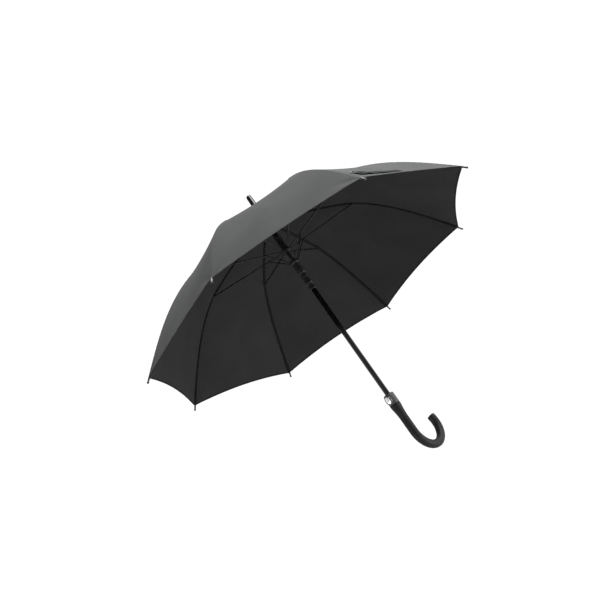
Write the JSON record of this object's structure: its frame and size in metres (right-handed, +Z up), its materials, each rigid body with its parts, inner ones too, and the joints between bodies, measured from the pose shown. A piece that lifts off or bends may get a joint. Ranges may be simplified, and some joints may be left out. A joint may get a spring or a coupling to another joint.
{
  "type": "stick umbrella",
  "caption": "Black automatic stick umbrella, open, with ribs and stretchers that fold down the shaft, a sliding runner, a push button and a J-hook grip.",
  "frame": {"origin": "On the shaft's axis in the middle of the straight grip, where the hand holds the umbrella.", "axes": "+Z runs up the shaft out of the ferrule's end. +X points to the side that the hook curves to; the push button faces -X. Y completes a right-handed frame."},
  "size_m": [0.9864, 0.9864, 0.8699],
  "materials": {
    "black_metal": "glossy black paint",
    "black_plastic": "black moulded plastic",
    "grey_plastic": "dark grey moulded plastic",
    "soft_grip": "matt black soft-touch coating with fine lengthwise lines",
    "cloth": "black plain-woven polyester with a soft sheen",
    "strap_cloth": "black woven tape",
    "silver": "bright silver plating",
    "spring_steel": "dark spring steel"
  },
  "bodies": {
    "root": {"shaft": "black_metal", "crown": "black_plastic", "rosette": "black_plastic", "ferrule": "black_metal", "handle_collar": "grey_plastic", "handle_grip": "soft_grip"},
    "upper_ring": {"upper_ring": "black_plastic", "opening_spring": "spring_steel"},
    "runner": {"runner": "black_plastic"},
    "push_button": {"push_button": "silver"},
    "rib_1": {"inner_rib_1": "black_metal", "canopy_inner_1": "cloth"},
    "outer_rib_1": {"outer_rib_1": "black_metal", "canopy_outer_1": "cloth"},
    "stretcher_1": {"stretcher_1": "black_metal"},
    "link_1": {"link_1": "black_metal"},
    "rib_2": {"inner_rib_2": "black_metal", "canopy_inner_2": "cloth"},
    "outer_rib_2": {"outer_rib_2": "black_metal", "canopy_outer_2": "cloth"},
    "stretcher_2": {"stretcher_2": "black_metal"},
    "link_2": {"link_2": "black_metal"},
    "rib_3": {"inner_rib_3": "black_metal", "canopy_inner_3": "cloth"},
    "outer_rib_3": {"outer_rib_3": "black_metal", "canopy_outer_3": "cloth"},
    "stretcher_3": {"stretcher_3": "black_metal"},
    "link_3": {"link_3": "black_metal"},
    "rib_4": {"inner_rib_4": "black_metal", "canopy_inner_4": "cloth"},
    "outer_rib_4": {"outer_rib_4": "black_metal", "canopy_outer_4": "cloth"},
    "stretcher_4": {"stretcher_4": "black_metal"},
    "link_4": {"link_4": "black_metal"},
    "rib_5": {"inner_rib_5": "black_metal", "canopy_inner_5": "cloth"},
    "outer_rib_5": {"outer_rib_5": "black_metal", "canopy_outer_5": "cloth"},
    "stretcher_5": {"stretcher_5": "black_metal"},
    "link_5": {"link_5": "black_metal"},
    "rib_6": {"inner_rib_6": "black_metal", "canopy_inner_6": "cloth"},
    "outer_rib_6": {"outer_rib_6": "black_metal", "canopy_outer_6": "cloth", "tie_strap": "strap_cloth", "tie_strap_tab": "black_plastic"},
    "stretcher_6": {"stretcher_6": "black_metal"},
    "link_6": {"link_6": "black_metal"},
    "rib_7": {"inner_rib_7": "black_metal", "canopy_inner_7": "cloth"},
    "outer_rib_7": {"outer_rib_7": "black_metal", "canopy_outer_7": "cloth"},
    "stretcher_7": {"stretcher_7": "black_metal"},
    "link_7": {"link_7": "black_metal"},
    "rib_8": {"inner_rib_8": "black_metal", "canopy_inner_8": "cloth"},
    "outer_rib_8": {"outer_rib_8": "black_metal", "canopy_outer_8": "cloth"},
    "stretcher_8": {"stretcher_8": "black_metal"},
    "link_8": {"link_8": "black_metal"}
  },
  "joints": [
    {"name": "rib_1_hinge", "type": "hinge", "parent": "root", "child": "rib_1", "pos_m": [0.01055, 0.00311, 0.66], "axis": [-0.2823, 0.9593, 0], "range_deg": [0, 76.28], "stiffness_Nm_per_rad": 1.2, "springref_deg": -91.67, "deforming": ["canopy_inner_1"]},
    {"name": "rib_2_hinge", "type": "hinge", "parent": "root", "child": "rib_2", "pos_m": [0.00527, 0.00966, 0.66], "axis": [-0.878, 0.4787, 0], "range_deg": [0, 76.29], "deforming": ["canopy_inner_2"]},
    {"name": "rib_3_hinge", "type": "hinge", "parent": "root", "child": "rib_3", "pos_m": [-0.00311, 0.01055, 0.66], "axis": [-0.9593, -0.2823, 0], "range_deg": [0, 76.29], "deforming": ["canopy_inner_3"]},
    {"name": "rib_4_hinge", "type": "hinge", "parent": "root", "child": "rib_4", "pos_m": [-0.00966, 0.00527, 0.66], "axis": [-0.4787, -0.878, 0], "range_deg": [0, 76.29], "deforming": ["canopy_inner_4"]},
    {"name": "rib_5_hinge", "type": "hinge", "parent": "root", "child": "rib_5", "pos_m": [-0.01055, -0.00311, 0.66], "axis": [0.2823, -0.9593, 0], "range_deg": [0, 76.29], "deforming": ["canopy_inner_5"]},
    {"name": "rib_6_hinge", "type": "hinge", "parent": "root", "child": "rib_6", "pos_m": [-0.00527, -0.00966, 0.66], "axis": [0.878, -0.4787, 0], "range_deg": [0, 76.29], "deforming": ["canopy_inner_6"]},
    {"name": "rib_7_hinge", "type": "hinge", "parent": "root", "child": "rib_7", "pos_m": [0.00311, -0.01055, 0.66], "axis": [0.9593, 0.2823, 0], "range_deg": [0, 76.29], "deforming": ["canopy_inner_7"]},
    {"name": "rib_8_hinge", "type": "hinge", "parent": "root", "child": "rib_8", "pos_m": [0.00966, -0.00527, 0.66], "axis": [0.4787, 0.878, 0], "range_deg": [0, 76.29], "deforming": ["canopy_inner_8"]},
    {"name": "outer_rib_1_unbend", "type": "hinge", "parent": "rib_1", "child": "outer_rib_1", "pos_m": [0.25134, 0.07397, 0.6136], "axis": [-0.2823, 0.9593, 0], "range_deg": [-27.42, 0], "deforming": ["canopy_outer_1"]},
    {"name": "outer_rib_2_unbend", "type": "hinge", "parent": "rib_2", "child": "outer_rib_2", "pos_m": [0.12542, 0.23003, 0.6136], "axis": [-0.878, 0.4787, 0], "range_deg": [-27.42, 0], "deforming": ["canopy_outer_2"]},
    {"name": "outer_rib_3_unbend", "type": "hinge", "parent": "rib_3", "child": "outer_rib_3", "pos_m": [-0.07397, 0.25134, 0.6136], "axis": [-0.9593, -0.2823, 0], "range_deg": [-27.42, 0], "deforming": ["canopy_outer_3"]},
    {"name": "outer_rib_4_unbend", "type": "hinge", "parent": "rib_4", "child": "outer_rib_4", "pos_m": [-0.23003, 0.12542, 0.6136], "axis": [-0.4787, -0.878, 0], "range_deg": [-27.42, 0], "deforming": ["canopy_outer_4"]},
    {"name": "outer_rib_5_unbend", "type": "hinge", "parent": "rib_5", "child": "outer_rib_5", "pos_m": [-0.25134, -0.07397, 0.6136], "axis": [0.2823, -0.9593, 0], "range_deg": [-27.42, 0], "deforming": ["canopy_outer_5"]},
    {"name": "outer_rib_6_unbend", "type": "hinge", "parent": "rib_6", "child": "outer_rib_6", "pos_m": [-0.12542, -0.23003, 0.6136], "axis": [0.878, -0.4787, 0], "range_deg": [-27.42, 0], "deforming": ["canopy_outer_6"]},
    {"name": "outer_rib_7_unbend", "type": "hinge", "parent": "rib_7", "child": "outer_rib_7", "pos_m": [0.07397, -0.25134, 0.6136], "axis": [0.9593, 0.2823, 0], "range_deg": [-27.42, 0], "deforming": ["canopy_outer_7"]},
    {"name": "outer_rib_8_unbend", "type": "hinge", "parent": "rib_8", "child": "outer_rib_8", "pos_m": [0.23003, -0.12542, 0.6136], "axis": [0.4787, 0.878, 0], "range_deg": [-27.42, 0], "deforming": ["canopy_outer_8"]},
    {"name": "stretcher_1_hinge", "type": "hinge", "parent": "rib_1", "child": "stretcher_1", "pos_m": [0.2475, 0.07284, 0.611], "axis": [-0.2823, 0.9593, 0], "range_deg": [-152.58, 0]},
    {"name": "stretcher_2_hinge", "type": "hinge", "parent": "rib_2", "child": "stretcher_2", "pos_m": [0.1235, 0.22652, 0.611], "axis": [-0.878, 0.4787, 0], "range_deg": [-152.58, 0]},
    {"name": "stretcher_3_hinge", "type": "hinge", "parent": "rib_3", "child": "stretcher_3", "pos_m": [-0.07284, 0.2475, 0.611], "axis": [-0.9593, -0.2823, 0], "range_deg": [-152.58, 0]},
    {"name": "stretcher_4_hinge", "type": "hinge", "parent": "rib_4", "child": "stretcher_4", "pos_m": [-0.22652, 0.1235, 0.611], "axis": [-0.4787, -0.878, 0], "range_deg": [-152.58, 0]},
    {"name": "stretcher_5_hinge", "type": "hinge", "parent": "rib_5", "child": "stretcher_5", "pos_m": [-0.2475, -0.07284, 0.611], "axis": [0.2823, -0.9593, 0], "range_deg": [-152.58, 0]},
    {"name": "stretcher_6_hinge", "type": "hinge", "parent": "rib_6", "child": "stretcher_6", "pos_m": [-0.1235, -0.22652, 0.611], "axis": [0.878, -0.4787, 0], "range_deg": [-152.58, 0]},
    {"name": "stretcher_7_hinge", "type": "hinge", "parent": "rib_7", "child": "stretcher_7", "pos_m": [0.07284, -0.2475, 0.611], "axis": [0.9593, 0.2823, 0], "range_deg": [-152.58, 0]},
    {"name": "stretcher_8_hinge", "type": "hinge", "parent": "rib_8", "child": "stretcher_8", "pos_m": [0.22652, -0.1235, 0.611], "axis": [0.4787, 0.878, 0], "range_deg": [-152.58, 0]},
    {"name": "link_1_hinge", "type": "hinge", "parent": "stretcher_1", "child": "link_1", "pos_m": [0.05948, 0.01751, 0.57212], "axis": [-0.2823, 0.9593, 0], "range_deg": [0, 34.22]},
    {"name": "link_2_hinge", "type": "hinge", "parent": "stretcher_2", "child": "link_2", "pos_m": [0.02968, 0.05444, 0.57212], "axis": [-0.878, 0.4787, 0], "range_deg": [0, 34.22]},
    {"name": "link_3_hinge", "type": "hinge", "parent": "stretcher_3", "child": "link_3", "pos_m": [-0.01751, 0.05948, 0.57212], "axis": [-0.9593, -0.2823, 0], "range_deg": [0, 34.22]},
    {"name": "link_4_hinge", "type": "hinge", "parent": "stretcher_4", "child": "link_4", "pos_m": [-0.05444, 0.02968, 0.57212], "axis": [-0.4787, -0.878, 0], "range_deg": [0, 34.22]},
    {"name": "link_5_hinge", "type": "hinge", "parent": "stretcher_5", "child": "link_5", "pos_m": [-0.05948, -0.01751, 0.57212], "axis": [0.2823, -0.9593, 0], "range_deg": [0, 34.22]},
    {"name": "link_6_hinge", "type": "hinge", "parent": "stretcher_6", "child": "link_6", "pos_m": [-0.02968, -0.05444, 0.57212], "axis": [0.878, -0.4787, 0], "range_deg": [0, 34.22]},
    {"name": "link_7_hinge", "type": "hinge", "parent": "stretcher_7", "child": "link_7", "pos_m": [0.01751, -0.05948, 0.57212], "axis": [0.9593, 0.2823, 0], "range_deg": [0, 34.22]},
    {"name": "link_8_hinge", "type": "hinge", "parent": "stretcher_8", "child": "link_8", "pos_m": [0.05444, -0.02968, 0.57212], "axis": [0.4787, 0.878, 0], "range_deg": [0, 34.22]},
    {"name": "upper_ring_hinge", "type": "hinge", "parent": "stretcher_1", "child": "upper_ring", "pos_m": [0.01055, 0.00311, 0.562], "axis": [-0.2823, 0.9593, 0], "range_deg": [0, 76.29]},
    {"name": "runner_slide", "type": "slide", "parent": "upper_ring", "child": "runner", "axis": [0, 0, 1], "range_m": [0, 0.02135], "deforming": ["opening_spring"]},
    {"name": "push_button_press", "type": "slide", "parent": "root", "child": "push_button", "axis": [1, 0, 0], "range_m": [0, 0.0015], "stiffness_N_per_m": 1500, "springref_m": -0.001}
  ],
  "couplings": [
    {"joint": "rib_2_hinge", "follows": "rib_1_hinge", "ratio": 1},
    {"joint": "rib_3_hinge", "follows": "rib_1_hinge", "ratio": 1},
    {"joint": "rib_4_hinge", "follows": "rib_1_hinge", "ratio": 1},
    {"joint": "rib_5_hinge", "follows": "rib_1_hinge", "ratio": 1},
    {"joint": "rib_6_hinge", "follows": "rib_1_hinge", "ratio": 1},
    {"joint": "rib_7_hinge", "follows": "rib_1_hinge", "ratio": 1},
    {"joint": "rib_8_hinge", "follows": "rib_1_hinge", "ratio": 1},
    {"joint": "outer_rib_1_unbend", "follows": "rib_1_hinge", "ratio": -0.35935},
    {"joint": "outer_rib_2_unbend", "follows": "rib_1_hinge", "ratio": -0.35935},
    {"joint": "outer_rib_3_unbend", "follows": "rib_1_hinge", "ratio": -0.35935},
    {"joint": "outer_rib_4_unbend", "follows": "rib_1_hinge", "ratio": -0.35935},
    {"joint": "outer_rib_5_unbend", "follows": "rib_1_hinge", "ratio": -0.35935},
    {"joint": "outer_rib_6_unbend", "follows": "rib_1_hinge", "ratio": -0.35935},
    {"joint": "outer_rib_7_unbend", "follows": "rib_1_hinge", "ratio": -0.35935},
    {"joint": "outer_rib_8_unbend", "follows": "rib_1_hinge", "ratio": -0.35935},
    {"joint": "stretcher_1_hinge", "follows": "rib_1_hinge", "ratio": -2},
    {"joint": "stretcher_2_hinge", "follows": "rib_1_hinge", "ratio": -2},
    {"joint": "stretcher_3_hinge", "follows": "rib_1_hinge", "ratio": -2},
    {"joint": "stretcher_4_hinge", "follows": "rib_1_hinge", "ratio": -2},
    {"joint": "stretcher_5_hinge", "follows": "rib_1_hinge", "ratio": -2},
    {"joint": "stretcher_6_hinge", "follows": "rib_1_hinge", "ratio": -2},
    {"joint": "stretcher_7_hinge", "follows": "rib_1_hinge", "ratio": -2},
    {"joint": "stretcher_8_hinge", "follows": "rib_1_hinge", "ratio": -2},
    {"joint": "link_1_hinge", "follows": "rib_1_hinge", "ratio": 0.44844},
    {"joint": "link_2_hinge", "follows": "rib_1_hinge", "ratio": 0.44844},
    {"joint": "link_3_hinge", "follows": "rib_1_hinge", "ratio": 0.44844},
    {"joint": "link_4_hinge", "follows": "rib_1_hinge", "ratio": 0.44844},
    {"joint": "link_5_hinge", "follows": "rib_1_hinge", "ratio": 0.44844},
    {"joint": "link_6_hinge", "follows": "rib_1_hinge", "ratio": 0.44844},
    {"joint": "link_7_hinge", "follows": "rib_1_hinge", "ratio": 0.44844},
    {"joint": "link_8_hinge", "follows": "rib_1_hinge", "ratio": 0.44844},
    {"joint": "upper_ring_hinge", "follows": "rib_1_hinge", "ratio": 1},
    {"joint": "runner_slide", "follows": "rib_1_hinge", "m_per_rad": 0.016032}
  ]
}
